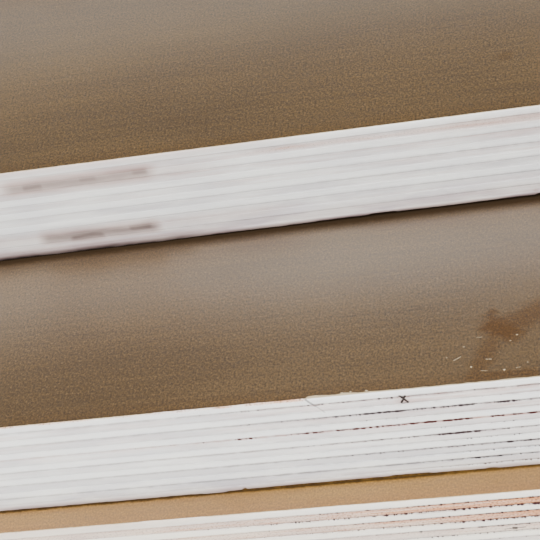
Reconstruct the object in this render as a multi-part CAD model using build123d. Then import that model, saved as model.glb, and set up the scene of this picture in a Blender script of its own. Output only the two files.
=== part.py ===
from build123d import *
import os

# Sheet stock, in millimetres.
SHEET_LENGTH = 1525.0       # along the front edge, which is also the way the face grain runs
SHEET_WIDTH = 1525.0        # from front to back
FACE_VENEER = 1.3           # outer veneer, sanded, with its film
CORE_VENEER = 1.4           # each veneer between the two outer ones
CORE_VENEERS = 11           # with the two outer veneers, a sheet of 13 plies
END_GRAIN_RECESS = 0.15     # sawn end grain stands this far behind the long grain beside it
ARRIS_EASE = 0.25           # bevel along the edges of the two faces
CORNER_RADIUS = 1.5         # the sheet's four corners, seen from above

# How the sheets lie. A setback is measured at the middle of the front edges, from the bottom
# sheet's front edge, and a turn is in degrees about that middle, seen from above.
THIRD_SETBACK = 5.2
THIRD_TURN = 0.3
SECOND_SETBACK = 47.5
SECOND_TURN = 1.25
TOP_SETBACK = 103.0
TOP_TURN = 1.4

# Faults of the sawn front edges. A place along an edge is measured from its middle, to the
# right as seen from the front. Glue lines and veneers are counted from the top face.
JOINT_OPENING = 0.3         # height of a glue line where the veneers did not close
JOINT_DEPTH = 0.5
OPEN_JOINTS = {             # by sheet and glue line: where it opens and where it closes again
    "sheet_third": {
        3: [(16.8, 22.0), (31.2, 33.5), (36.6, 39.6)],
        5: [(-3.7, -0.8), (24.7, 27.2), (28.5, 32.6), (35.4, 37.4), (38.7, 40.4), (41.1, 47.0)],
        7: [(27.8, 32.7)],
    },
    "sheet_bottom": {
        5: [(34.8, 38.2)],
    },
}
PIN_KNOTS = {               # by sheet and veneer: the place and the diameter of the hole
    "sheet_third": {2: [(23.1, 1.1)]},
    "sheet_bottom": {6: [(36.5, 0.6)]},
}
KNOT_DEPTH = 0.6
SPLITS = {                  # by sheet: where a split leaves the upper arris and where it ends
    "sheet_third": [(8.45, 10.8)],
}
SPLIT_WIDTH = 0.16
SPLIT_DEPTH = 0.5
SPLIT_VENEERS = 2           # it crosses so many veneers and ends inside the next
SPLIT_OVERRUN = 1.0         # the cut for it starts so far above the face
CHIPS = {                   # by sheet: where the lower arris has splintered off, and its height
    "sheet_third": [(-5.3, -4.4, 0.6), (18.0, 25.0, 0.45), (33.0, 35.2, 0.4)],
    "sheet_second": [(15.4, 20.6, 0.55), (42.8, 45.5, 0.8)],
}


def veneer_heights():
    """Heights of the glue lines and the two faces, from the underside up."""
    heights = [0.0, FACE_VENEER]
    for _ in range(CORE_VENEERS):
        heights.append(heights[-1] + CORE_VENEER)
    heights.append(heights[-1] + FACE_VENEER)
    return heights


def sheet_section(span, outer_veneers_recessed):
    """Section across a sheet of the given span: bevelled arrises, and every other veneer
    set back at its ends."""
    heights = veneer_heights()
    outline = []
    for number, (low, high) in enumerate(zip(heights, heights[1:])):
        is_recessed = (number % 2 == 0) == outer_veneers_recessed
        half = span / 2 - (END_GRAIN_RECESS if is_recessed else 0)
        outline += [(half, low), (half, high)]
    lowest, highest = outline[0][0], outline[-1][0]
    outline[0:1] = [(lowest - ARRIS_EASE, 0), (lowest, ARRIS_EASE)]
    outline[-1:] = [(highest, heights[-1] - ARRIS_EASE), (highest - ARRIS_EASE, heights[-1])]
    mirrored = [(-across, height) for across, height in reversed(outline)]
    return make_face(Polyline(*outline, *mirrored, close=True))


def plywood_sheet():
    """One sheet, lying on Z = 0 with the middle of its front edge at the origin."""
    thickness = veneer_heights()[-1]
    # Veneers one, three, five and on run along X, so they show end grain at the two ends,
    # and those between them show it along the front and back.
    along = extrude(Plane.XZ * sheet_section(SHEET_LENGTH, True), SHEET_WIDTH / 2, both=True)
    across = extrude(Plane.YZ * sheet_section(SHEET_WIDTH, False), SHEET_LENGTH / 2, both=True)
    corners = extrude(RectangleRounded(SHEET_LENGTH, SHEET_WIDTH, CORNER_RADIUS), thickness)
    return Pos(0, SHEET_WIDTH / 2, 0) * (along & across & corners)


def glue_line(number):
    """Height of a glue line above the underside, counted from the top face."""
    return veneer_heights()[-1 - number]


def open_joint(number, start, end):
    """The shallow slot that an open glue line leaves in the front edge, with rounded ends."""
    outline = Pos((start + end) / 2, glue_line(number)) * SlotOverall(end - start, JOINT_OPENING)
    return extrude(Plane.XZ * outline, JOINT_DEPTH, both=True)


def pin_knot(number, place, diameter):
    """The hole that a pin knot leaves in the middle of a veneer."""
    height = (glue_line(number) + glue_line(number - 1)) / 2
    return extrude(Plane.XZ * (Pos(place, height) * Circle(diameter / 2)), KNOT_DEPTH, both=True)


def split(start, end):
    """A split that runs down from the upper arris at a slant and ends in a point."""
    top, foot = glue_line(0), (glue_line(SPLIT_VENEERS) + glue_line(SPLIT_VENEERS + 1)) / 2
    above = top + SPLIT_OVERRUN
    outline = Polyline((start - SPLIT_WIDTH, above), (start + SPLIT_WIDTH, above), (start + SPLIT_WIDTH, top),
                       (end, foot), (start - SPLIT_WIDTH, top), close=True)
    return extrude(Plane.XZ * make_face(outline), SPLIT_DEPTH, both=True)


def chip(start, end, height):
    """A splinter off the lower arris: a bevel that runs out at both ends."""
    deepest = Plane.YZ.offset((start + end) / 2) * Polygon((0, -height), (height, 0), (0, height), (-height, 0),
                                                          align=None)
    return loft([Vertex(start, 0, 0), deepest, Vertex(end, 0, 0)], ruled=True)


def faults_of(name):
    """Everything that the sheet of this name has lost along its front edge."""
    faults = [open_joint(number, *run) for number, runs in OPEN_JOINTS.get(name, {}).items() for run in runs]
    faults += [pin_knot(number, *knot) for number, knots in PIN_KNOTS.get(name, {}).items() for knot in knots]
    faults += [split(*run) for run in SPLITS.get(name, [])]
    faults += [chip(*piece) for piece in CHIPS.get(name, [])]
    return faults


def stack_of_sheets():
    """The sheets by name, from the floor up, each resting on the one below."""
    lies = {
        "sheet_bottom": (0.0, 0.0),
        "sheet_third": (THIRD_SETBACK, THIRD_TURN),
        "sheet_second": (SECOND_SETBACK, SECOND_TURN),
        "sheet_top": (TOP_SETBACK, TOP_TURN),
    }
    thickness = veneer_heights()[-1]
    sheets = {}
    for level, (name, (setback, turn)) in enumerate(lies.items()):
        place = Pos(0, setback, level * thickness) * Rot(0, 0, turn)
        sheets[name] = place * (plywood_sheet() - faults_of(name))
    return sheets


def about_origin(sheets):
    """The same sheets, moved so that the middle of the stack's footprint is the origin."""
    middle = Compound(list(sheets.values())).bounding_box().center()
    return {name: Pos(-middle.X, -middle.Y, 0) * sheet for name, sheet in sheets.items()}


os.makedirs("parts", exist_ok=True)
for name, sheet in about_origin(stack_of_sheets()).items():
    export_step(sheet, f"parts/{name}.step")
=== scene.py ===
import logging
import math
from dataclasses import dataclass, field
from enum import Enum

import bpy
import numpy as np
from mathutils import Matrix, Vector


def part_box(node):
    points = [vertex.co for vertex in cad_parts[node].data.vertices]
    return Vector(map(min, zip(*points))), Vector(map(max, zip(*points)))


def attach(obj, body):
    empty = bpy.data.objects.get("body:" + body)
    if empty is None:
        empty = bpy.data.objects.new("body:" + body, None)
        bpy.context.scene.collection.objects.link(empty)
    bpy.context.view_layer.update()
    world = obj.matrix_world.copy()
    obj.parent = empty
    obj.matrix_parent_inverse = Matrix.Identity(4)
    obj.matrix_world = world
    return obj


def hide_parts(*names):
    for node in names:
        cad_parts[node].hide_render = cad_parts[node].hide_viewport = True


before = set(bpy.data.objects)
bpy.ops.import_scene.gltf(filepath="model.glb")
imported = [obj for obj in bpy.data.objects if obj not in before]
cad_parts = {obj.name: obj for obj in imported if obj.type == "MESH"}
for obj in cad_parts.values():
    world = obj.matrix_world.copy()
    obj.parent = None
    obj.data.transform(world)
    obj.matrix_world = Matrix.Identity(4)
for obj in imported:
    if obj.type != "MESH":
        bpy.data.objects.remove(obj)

MM = 0.001

Tree = bpy.types.NodeTree
Source = bpy.types.Node | bpy.types.NodeSocket | float
Levels = tuple[tuple[float, ...], ...]

log = logging.getLogger("sheet_stack")


def linear(colour: str) -> tuple[float, float, float, float]:
    """Turn an sRGB hex colour into the linear colour that a shader takes.

    Args:
        colour: The colour as "#rrggbb".

    Returns:
        Linear red, green and blue, and 1 for opaque.
    """
    channels = [int(colour[start:start + 2], 16) / 255 for start in (1, 3, 5)]
    bent = [c / 12.92 if c <= 0.04045 else ((c + 0.055) / 1.055) ** 2.4 for c in channels]
    return (*bent, 1.0)


def smooth_step(values: np.ndarray, low: float, high: float) -> np.ndarray:
    """Ease values from 0 at low to 1 at high."""
    share = np.clip((values - low) / (high - low), 0.0, 1.0)
    return share * share * (3 - 2 * share)


def on_run(places: np.ndarray, start: float, end: float, fade: float) -> np.ndarray:
    """1 from start to end, eased to 0 over the fade inside both of them."""
    return smooth_step(places, start, start + fade) * (1 - smooth_step(places, end - fade, end))


def level_at(levels: Levels, places: np.ndarray, column: int = 1) -> np.ndarray:
    """Read a column of levels at places along an edge, straight from row to row."""
    table = np.array(levels)
    return np.interp(places, table[:, 0], table[:, column])


def each(kind: type, *rows: tuple) -> tuple:
    """Make one of a kind from each row of values."""
    return tuple(kind(*row) for row in rows)


@dataclass(frozen=True)
class Waver:
    """How a random value varies over a sheet.

    Attributes:
        number: Which of the random patterns it follows.
        pitch: Distance over which it finds a new level along the rim, in millimetres.
        row_pitch: The same up the edge, where rows are heights, or 1 where they are numbers.
        least: Its least value.
        span: How much more it is at most.
    """

    number: int
    pitch: float
    row_pitch: float = 1.0
    least: float = 0.0
    span: float = 1.0


class Uneven(Enum):
    """What varies at random round a sheet: the depth of marks in millimetres, all else as a share."""

    LIFT = Waver(1, 240.0)
    SUNK_PLIES = Waver(2, 16.0, least=0.45, span=1.1)
    SAW_MARKS = Waver(3, 5.0, 0.9, span=0.04)
    BRUSH_MARKS = Waver(4, 0.9, 0.35, span=0.02)
    UPPER_ARRIS = Waver(5, 4.0, span=0.3)
    LOWER_ARRIS = Waver(6, 4.0, span=0.3)
    UPPER_SPLINTERS = Waver(7, 0.8, span=0.25)
    LOWER_SPLINTERS = Waver(8, 0.8, span=0.25)
    WANDER = Waver(9, 60.0, 3.0, least=-0.5)
    OPEN_LINES = Waver(11, 45.0, least=0.2, span=0.75)
    RED_LINES = Waver(12, 30.0)
    BARE_ARRIS = Waver(13, 2.2, least=0.4, span=1.2)
    PAINT_LAP = Waver(14, 1.1, least=0.25, span=1.5)
    THIN_PAINT = Waver(15, 70.0)
    PINK_PAINT = Waver(16, 50.0)


@dataclass(frozen=True)
class Drift:
    """A random value that changes smoothly over a sheet, the same on every run.

    Attributes:
        seed: The sheet's seed.
        kind: What the value is for.
    """

    seed: int
    kind: Uneven

    LEVELS = 512

    def along(self, places: np.ndarray) -> np.ndarray:
        """Read the drift at places in millimetres along one line."""
        return self.over(places, np.zeros_like(places))

    def over(self, places: np.ndarray, rows: np.ndarray) -> np.ndarray:
        """Read the drift over a surface.

        Args:
            places: Positions in millimetres along the first direction.
            rows: Positions along the second, or the number of the ply, of the same shape.

        Returns:
            The value at each place, between the least and the most of its kind.
        """
        waver = self.kind.value
        levels = np.random.default_rng(self.seed + waver.number).random((self.LEVELS, self.LEVELS))
        column, row = places / waver.pitch, rows / waver.row_pitch
        left, low = np.floor(column).astype(int), np.floor(row).astype(int)
        across, up = (share**2 * (3 - 2 * share) for share in (column - left, row - low))
        below, above = (levels[left % self.LEVELS, level % self.LEVELS] * (1 - across)
                        + levels[(left + 1) % self.LEVELS, level % self.LEVELS] * across
                        for level in (low, low + 1))
        return waver.least + waver.span * (below * (1 - up) + above * up)


@dataclass(frozen=True)
class PlySection:
    """The section of one sheet: thin veneers glued with their grain crossed.

    Attributes:
        outer: Thickness of each of the two outer veneers with its film, in millimetres.
        core: Thickness of each veneer between them.
        core_count: How many veneers lie between the outer ones.
    """

    outer: float = 1.3
    core: float = 1.4
    core_count: int = 11

    @property
    def thickness(self) -> float:
        """Thickness of the whole sheet."""
        return 2 * self.outer + self.core_count * self.core

    def glue_line(self, number: int) -> float:
        """Height above the underside of a glue line, counted from the top face."""
        return self.thickness - self.outer - (number - 1) * self.core

    def line_at(self, height: float | np.ndarray) -> float | np.ndarray:
        """Number of the glue line at each height, a fraction between two lines."""
        return (self.thickness - self.outer - height) / self.core + 1


class Side(Enum):
    """The four sawn edges of a sheet, in the order in which the rim runs round them."""

    FRONT = (0.0, -1.0)
    RIGHT = (1.0, 0.0)
    BACK = (0.0, 1.0)
    LEFT = (-1.0, 0.0)


class Wear(Enum):
    """What a flaw does to the painted edge where it lies."""

    BARE_WOOD = "a place that the brush missed, down to the wood"
    # Brown resin and dirt on thin paint, and painted shade along the lower arris where the sheet rests on
    # the one below.
    STAIN_AND_SHADE = "brown resin and dirt on thin paint"


@dataclass(frozen=True)
class Flaw:
    """One flaw in the paint of a front edge, or painted shade along it, in millimetres.

    Attributes:
        wear: What it is.
        start: Where it starts, along the edge from its middle.
        end: Where it ends.
        height: Height of its middle above the underside.
        spread: Half its height.
        amount: How strong it is, from 0 to 1.
        fade: Over how long a run it fades in and out.
    """

    wear: Wear
    start: float
    end: float
    height: float
    spread: float
    amount: float
    fade: float = 2.5

    def mark(self, place: np.ndarray, rise: np.ndarray) -> np.ndarray:
        """How strong the flaw is at each place along the edge and height."""
        along = on_run(place, self.start, self.end, min(self.fade, (self.end - self.start) / 2))
        return along * np.exp(-(((rise - self.height) / self.spread) ** 2)) * self.amount


@dataclass(frozen=True)
class GlueLine:
    """How one glue line shows along the part of the front edge that is seen from close by.

    Attributes:
        number: The glue line, counted from the top face.
        opens: Places along the edge in millimetres, each with how open the line is there.
        red: How much red resin the open joint shows, from 0 to 1.
    """

    number: int
    opens: Levels
    red: float


class Arris(Enum):
    """The upper and the lower rim of a sawn edge, each with the random patterns that wear it."""

    UPPER = (Uneven.UPPER_ARRIS, Uneven.UPPER_SPLINTERS)
    LOWER = (Uneven.LOWER_ARRIS, Uneven.LOWER_SPLINTERS)


@dataclass(frozen=True)
class Chip:
    """A splinter that has broken away along an arris, or a run of paint that thickens it.

    Attributes:
        start: Where it starts, in millimetres along the front edge from its middle.
        end: Where it ends.
        drop: How far the arris is worn away there, or less than 0 where it is fuller.
        arris: On which arris it is.
    """

    start: float
    end: float
    drop: float
    arris: Arris = Arris.LOWER

    USUAL_DROP = 0.3
    LONGEST_TAPER = 0.8

    def growth(self, place: np.ndarray) -> np.ndarray:
        """By how many times its usual size the arris grows at each place."""
        taper = min(self.LONGEST_TAPER, (self.end - self.start) / 3)
        return on_run(place, self.start, self.end, taper) * self.drop / self.USUAL_DROP


def add(tree: Tree, kind: str, inputs: dict | tuple = (), **settings: object) -> bpy.types.Node:
    """Add a node with its settings, values and links.

    Args:
        tree: The node tree.
        kind: The node's type, without the prefix that all of them share.
        inputs: Values, or what feeds them, in the order of the node's inputs or by their names.
        **settings: Properties of the node itself.

    Returns:
        The new node. Where it feeds another one, its first output in use does so.
    """
    node = tree.nodes.new("ShaderNode" + kind)
    for name, value in settings.items():
        setattr(node, name, value)
    for name, value in inputs.items() if isinstance(inputs, dict) else enumerate(inputs):
        if isinstance(value, bpy.types.Node):
            value = next(output for output in value.outputs if output.enabled)
        if isinstance(value, bpy.types.NodeSocket):
            tree.links.new(value, node.inputs[name])
        else:
            node.inputs[name].default_value = value
    return node


def new_material(name: str) -> tuple[bpy.types.Material, Tree]:
    """Start a material with an empty node tree.

    Args:
        name: What the material is called.

    Returns:
        The material and its tree.
    """
    material = bpy.data.materials.new(name)
    material.use_nodes = True
    material.node_tree.nodes.clear()
    return material, material.node_tree


def stored(tree: Tree, name: str) -> bpy.types.NodeOutputs:
    """Read the three values that the mesh stores under a name."""
    vector = add(tree, "Attribute", attribute_name=name).outputs["Vector"]
    return add(tree, "SeparateXYZ", (vector,)).outputs


def peaks(tree: Tree, pattern: Source, strength: Source, limits: tuple[float, float], width: float,
          most: float = 1.0, easing: str = "LINEAR") -> Source:
    """Pick out the peaks of a pattern, more of them where a strength is greater.

    Args:
        tree: The finish's node tree.
        pattern: The pattern.
        strength: How much is picked, from 0 to 1.
        limits: The level that a peak has to reach at strength 0 and at strength 1.
        width: How far above that level it counts in full.
        most: The value of a peak in full.
        easing: How the value rises between the two.

    Returns:
        Values from 0 to most.
    """
    limit = add(tree, "MapRange", (strength, 0.0, 1.0, *limits))
    full = add(tree, "Math", (limit, width), operation="ADD")
    return add(tree, "MapRange", (pattern, limit, full, 0.0, most), interpolation_type=easing)


@dataclass(frozen=True)
class Stroke:
    """A straight mark on a surface, in millimetres.

    Attributes:
        start: Where it starts: along and up on an edge, along and behind the edge on a face.
        end: Where it ends.
        width: Half its width.
        amount: How strong it is, from 0 to 1.
        blur: Over what share of the width its sides fade, from 0 to 1.
    """

    start: tuple[float, float]
    end: tuple[float, float]
    width: float
    amount: float = 1.0
    blur: float = 0.5


def strokes_mask(tree: Tree, strokes: tuple[Stroke, ...], place: Source, fray: Source,
                 fray_amount: float) -> Source:
    """Mark the surface where any of several strokes lies.

    Args:
        tree: The finish's node tree.
        strokes: The strokes.
        place: The place on the surface.
        fray: A fine pattern that frays their outlines.
        fray_amount: By how many millimetres it does so.

    Returns:
        The strongest stroke's amount inside the strokes, and 0 outside them.
    """
    joined = 0.0
    for stroke in strokes:
        run = (stroke.end[0] - stroke.start[0], stroke.end[1] - stroke.start[1], 0.0)
        length = math.hypot(*run) or 1.0
        offset = add(tree, "VectorMath", (place, (*stroke.start, 0.0)), operation="SUBTRACT")
        reach = add(tree, "VectorMath", (offset, [c / length**2 for c in run]), operation="DOT_PRODUCT")
        share = add(tree, "Clamp", (reach,))
        foot = add(tree, "VectorMath", {0: run, "Scale": share}, operation="SCALE")
        away = add(tree, "VectorMath", (offset, foot), operation="DISTANCE")
        frayed = add(tree, "Math", (fray, fray_amount, away), operation="MULTIPLY_ADD")
        inner, outer = (stroke.width * (1 + way * stroke.blur) + fray_amount / 2 for way in (-1, 1))
        mask = add(tree, "MapRange", (frayed, inner, outer, stroke.amount, 0.0),
                   interpolation_type="SMOOTHSTEP")
        joined = add(tree, "Math", (mask, joined), operation="MAXIMUM")
    return joined


@dataclass(frozen=True)
class Grain:
    """A cloudy pattern with its size in millimetres, drawn out along the surface.

    Attributes:
        long: Size along the first direction.
        short: Size along the second.
        seed: Which pattern.
        detail: How many finer patterns lie on top.
        roughness: How strong these are.
    """

    long: float
    short: float
    seed: float
    detail: float = 3.0
    roughness: float = 0.55

    SEED_SPACING = 17.3

    def build(self, tree: Tree, along: Source, across: Source) -> Source:
        """Add the pattern to a finish.

        Args:
            tree: The finish's node tree.
            along: Place in millimetres along the first direction.
            across: Place along the second.

        Returns:
            Values around 0.5.
        """
        first = add(tree, "Math", (along, 1 / self.long, self.seed * self.SEED_SPACING),
                    operation="MULTIPLY_ADD")
        second = add(tree, "Math", (across, 1 / self.short), operation="MULTIPLY")
        place = add(tree, "CombineXYZ", (first, second, self.seed))
        return add(tree, "TexNoise", {"Vector": place, "Scale": 1.0, "Detail": self.detail,
                                      "Roughness": self.roughness})


@dataclass(frozen=True)
class EdgePoint:
    """What a painted edge's finish knows at each of its points.

    Attributes:
        along: Place along the rim, in millimetres.
        height: Height above the underside.
        open: How open the glue line beside it is, from 0 to 1.
        shadow: How strong the shadow along that line is.
        red: How red the line is.
        missed: How far the brush missed the point.
        thin: How thin the paint is on end grain.
        end_grain: 1 on end grain, 0 on long grain.
        pink: How far the wood tints thin paint.
        stroke: Pattern of brush strokes.
        pore: Pattern of pores.
        cloud: Broad pattern.
    """

    along: Source
    height: Source
    open: Source
    shadow: Source
    red: Source
    missed: Source
    thin: Source
    end_grain: Source
    pink: Source
    stroke: Source
    pore: Source
    cloud: Source


@dataclass(frozen=True)
class PaintedEdge:
    """White emulsion brushed over sawn birch veneers.

    The paint covers the long grain well and sinks into the end grain, so every other veneer is
    duller or shows the wood, and the glue lines between them stay open in short dark dashes.

    Attributes:
        name: Name of the finish.
        seed: Which of the random patterns it wears.
        bare_end_grain: How much of the end grain shows through, from 0 to 1.
        open_lines: How much of the strong glue lines is open, from 0 to 1.
        shown: Along the front edge in millimetres, each place with the bareness and the pinkness
            of the end grain where it is seen from close by.
        soft_lines: Along the front edge, each place with how strongly the closed glue lines show.
        line_width: How far the shadow of a closed glue line reaches, in millimetres.
        dulled: How grey the paint on end grain is at most, from 0 to 1.
        white: sRGB colour of the paint where it lies thick.
        cracks: Dark strokes on the front edge.
    """

    name: str
    seed: int
    bare_end_grain: float
    open_lines: float
    shown: Levels = ((-60, 0.05, 0.2), (60, 0.05, 0.3))
    soft_lines: Levels = ((-60, 0.25), (60, 0.25))
    line_width: float = 0.46
    dulled: float = 0.42
    white: str = "#f6f7f3"
    cracks: tuple[Stroke, ...] = ()

    THIN = "#a09da3"
    PINK = "#d0a89e"
    LAVENDER = "#c8c9da"
    WOOD = "#d18238"
    WOOD_DARK = "#4c2510"
    GLUE = "#41343a"
    GREY_GAP = "#2b2227"
    RED_GAP = "#43100d"
    RESIN = "#a3563f"
    HOLE = "#1a0c0b"
    LIGHT_STAIN_AND_SHADE = "#9c5f43"
    DARK_STAIN_AND_SHADE = "#2a211f"
    PAINT_IOR = 1.46
    # Emulsion dries matt, and bare wood is rougher still.
    PAINT_ROUGHNESS = 0.52
    WOOD_ROUGHNESS = 0.75
    RELIEF = 0.045
    # How ragged the cracks are, and how far the glue lines waver, in millimetres.
    CRACK_FRAY = 0.25
    WAVER = 0.24
    # Half the height of the boldest open dash, and the distances beside a glue line over which
    # the pits at it thin out.
    BOLDEST_DASH = 0.27
    PITTED = (0.12, 0.26)
    # The barest end grain is this many times as bare as bare_end_grain gives. The bareness known
    # from close by comes in between two heights, and below them it is less pink by a factor.
    BAREST = 1.6
    UPPER_PLIES = (6.0, 15.0)
    PINK_BELOW = 0.4

    def cover(self, place: np.ndarray, rise: np.ndarray, ply: np.ndarray, seed: int,
              here: np.ndarray) -> tuple[np.ndarray, np.ndarray]:
        """Work out how thin the paint is and how pink the wood makes it.

        Args:
            place: Place along the rim of each point of the edge.
            rise: Its height.
            ply: Its veneer's number.
            seed: The sheet's seed.
            here: 1 where the edge is seen from close by, and 0 far from there.

        Returns:
            Thinness and pinkness, each from 0 to 1.
        """
        thin = self.bare_end_grain * self.BAREST * Drift(seed, Uneven.THIN_PAINT).over(place, ply)
        pink = Drift(seed, Uneven.PINK_PAINT).over(place, ply)
        upper = smooth_step(rise, *self.UPPER_PLIES)
        known = level_at(self.shown, place) * upper
        known_pink = level_at(self.shown, place, 2) * (self.PINK_BELOW + (1 - self.PINK_BELOW) * upper)
        return thin * (1 - here) + known * here, pink * (1 - here) + known_pink * here

    def material(self, section: PlySection) -> bpy.types.Material:
        """Make the finish.

        Args:
            section: The veneers that the paint covers.

        Returns:
            The material.
        """
        material, tree = new_material(self.name)
        along, height, _ = stored(tree, "edge_place")
        flat_place = add(tree, "CombineXYZ", (along, height))
        # Brush strokes are some 9 mm long and half a millimetre wide.
        stroke = Grain(9.0, 0.5, self.seed, 4.0).build(tree, along, height)
        # Birch pores are a tenth of a millimetre wide. They are drawn three times as coarse, to show.
        pore = Grain(0.35, 0.22, self.seed + 1).build(tree, along, height)
        # The brush left more or less paint in patches of some 14 mm by 3 mm.
        cloud = Grain(14.0, 3.0, self.seed + 2).build(tree, along, height)
        missed, stained_and_shaded, _ = stored(tree, "wear")
        at = EdgePoint(along, height, *stored(tree, "joint"), missed, *stored(tree, "paint"),
                       stroke, pore, cloud)

        colour, bare = self.bare_wood(tree, at, self.painted(tree, at))
        colour, gap = self.glue_lines(tree, at, section, colour)
        # Stains of resin and dirt, and painted shade along the lower arris where the sheet rests on the one
        # below, darken the paint.
        uneven = add(tree, "Math", (cloud, 0.6, 0.7), operation="MULTIPLY_ADD")
        stain_and_shade = add(tree, "Math", (uneven, stained_and_shaded), operation="MULTIPLY")
        thick = add(tree, "MapRange", (stain_and_shade, 0.36, 1.0))
        dirt_and_shade = add(tree, "Mix", {"Factor": thick, "A": linear(self.LIGHT_STAIN_AND_SHADE),
                                 "B": linear(self.DARK_STAIN_AND_SHADE)}, data_type="RGBA")
        hole = strokes_mask(tree, self.cracks, flat_place, pore, self.CRACK_FRAY)
        for cover, coat in ((stain_and_shade, dirt_and_shade), (hole, linear(self.HOLE))):
            colour = add(tree, "Mix", {"Factor": cover, "A": colour, "B": coat}, data_type="RGBA")

        ridges = 0.0
        for pattern, share in ((stroke, 0.7), (pore, 0.5), (gap, -1.2), (hole, -2.0)):
            ridges = add(tree, "Math", (pattern, share, ridges), operation="MULTIPLY_ADD")
        bump = add(tree, "Bump", {"Height": ridges, "Strength": 1.0, "Distance": self.RELIEF * MM})
        rough = add(tree, "MapRange", (bare, 0.0, 1.0, self.PAINT_ROUGHNESS, self.WOOD_ROUGHNESS))
        shader = add(tree, "BsdfPrincipled", {"Base Color": colour, "Roughness": rough, "Normal": bump,
                                              "IOR": self.PAINT_IOR})
        add(tree, "OutputMaterial", {"Surface": shader})
        return material

    def painted(self, tree: Tree, at: EdgePoint) -> Source:
        """Colour the paint film: white, faintly pink where it has sunk in, and lavender grey in patches.

        Args:
            tree: The finish's node tree.
            at: What it knows at each point.

        Returns:
            The colour.
        """
        shade = add(tree, "MapRange", (at.cloud, 0.4, 0.62))
        # The lavender patches grow stronger towards the lower arris, so the paint is greyer and darker
        # towards the bottom.
        low = add(tree, "MapRange", (at.height, 0.0, 5.0, 0.75, 0.2))
        cool = add(tree, "Math", (shade, low), operation="MULTIPLY")
        sunk = add(tree, "Math", (at.stroke, 2.2, -0.65), operation="MULTIPLY_ADD", use_clamp=True)
        warm = add(tree, "Math", (at.end_grain, 0.85, 0.12), operation="MULTIPLY_ADD")
        for share in (at.pink, sunk):
            warm = add(tree, "Math", (warm, share), operation="MULTIPLY")
        # End grain drinks the paint, so what is left on it is greyer.
        grey = add(tree, "MapRange", (at.cloud, 0.35, 0.65, self.dulled - 0.24, self.dulled))
        dull = add(tree, "Math", (grey, at.end_grain), operation="MULTIPLY")
        colour = linear(self.white)
        for cover, coat in ((cool, self.LAVENDER), (warm, self.PINK), (dull, self.THIN)):
            colour = add(tree, "Mix", {"Factor": cover, "A": colour, "B": linear(coat)}, data_type="RGBA")
        return colour

    def bare_wood(self, tree: Tree, at: EdgePoint, colour: Source) -> tuple[Source, Source]:
        """Let the birch show where the paint is thin, peach with small dark pores.

        Args:
            tree: The finish's node tree.
            at: What it knows at each point.
            colour: Colour of the paint.

        Returns:
            The colour, and how bare the wood is.
        """
        show = add(tree, "Math", (at.thin, at.end_grain), operation="MULTIPLY")
        show = add(tree, "Math", (show, at.missed), operation="MAXIMUM")
        patchy = add(tree, "Math", (at.stroke, 0.6), operation="MULTIPLY")
        patchy = add(tree, "Math", (at.pore, 0.4, patchy), operation="MULTIPLY_ADD")
        bare = peaks(tree, patchy, show, (0.7, 0.24), 0.24, easing="SMOOTHSTEP")
        ticks = add(tree, "MapRange", (at.pore, 0.58, 0.68, 0.0, 0.75))
        wood = add(tree, "Mix", {"Factor": ticks, "A": linear(self.WOOD), "B": linear(self.WOOD_DARK)},
                   data_type="RGBA")
        # A thin coat lets the wood through evenly, and more where the brush skipped.
        through = add(tree, "Math", (show, 0.5), operation="MULTIPLY")
        through = add(tree, "Math", (bare, 0.4, through), operation="MULTIPLY_ADD")
        # Open pores stay dark in the middle of the thin coat.
        pits = add(tree, "MapRange", (at.pore, 0.5, 0.66, 0.0, 0.7))
        pits = add(tree, "Math", (pits, show), operation="MULTIPLY")
        for cover, coat in ((through, wood), (pits, linear(self.WOOD_DARK))):
            colour = add(tree, "Mix", {"Factor": cover, "A": colour, "B": coat}, data_type="RGBA")
        return colour, bare

    def glue_lines(self, tree: Tree, at: EdgePoint, section: PlySection,
                   colour: Source) -> tuple[Source, Source]:
        """Draw the glue lines: a soft shadow, and dark dashes where the paint did not bridge them.

        Args:
            tree: The finish's node tree.
            at: What it knows at each point.
            section: The veneers.
            colour: Colour of the edge without them.

        Returns:
            The colour, and a mask of the open dashes.
        """
        # The lines waver once in some 1.3 mm.
        wave = Grain(1.3, 50.0, self.seed + 3).build(tree, at.along, at.height)
        height = add(tree, "Math", (wave, self.WAVER, at.height), operation="MULTIPLY_ADD")
        count = add(tree, "Math", (height, -1 / section.core, section.line_at(-self.WAVER / 2)),
                    operation="MULTIPLY_ADD")
        line = add(tree, "Math", (count,), operation="ROUND")
        away = add(tree, "Math", (count, line), operation="SUBTRACT")
        away = add(tree, "Math", (away,), operation="ABSOLUTE")
        away = add(tree, "Math", (away, section.core), operation="MULTIPLY")
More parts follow.
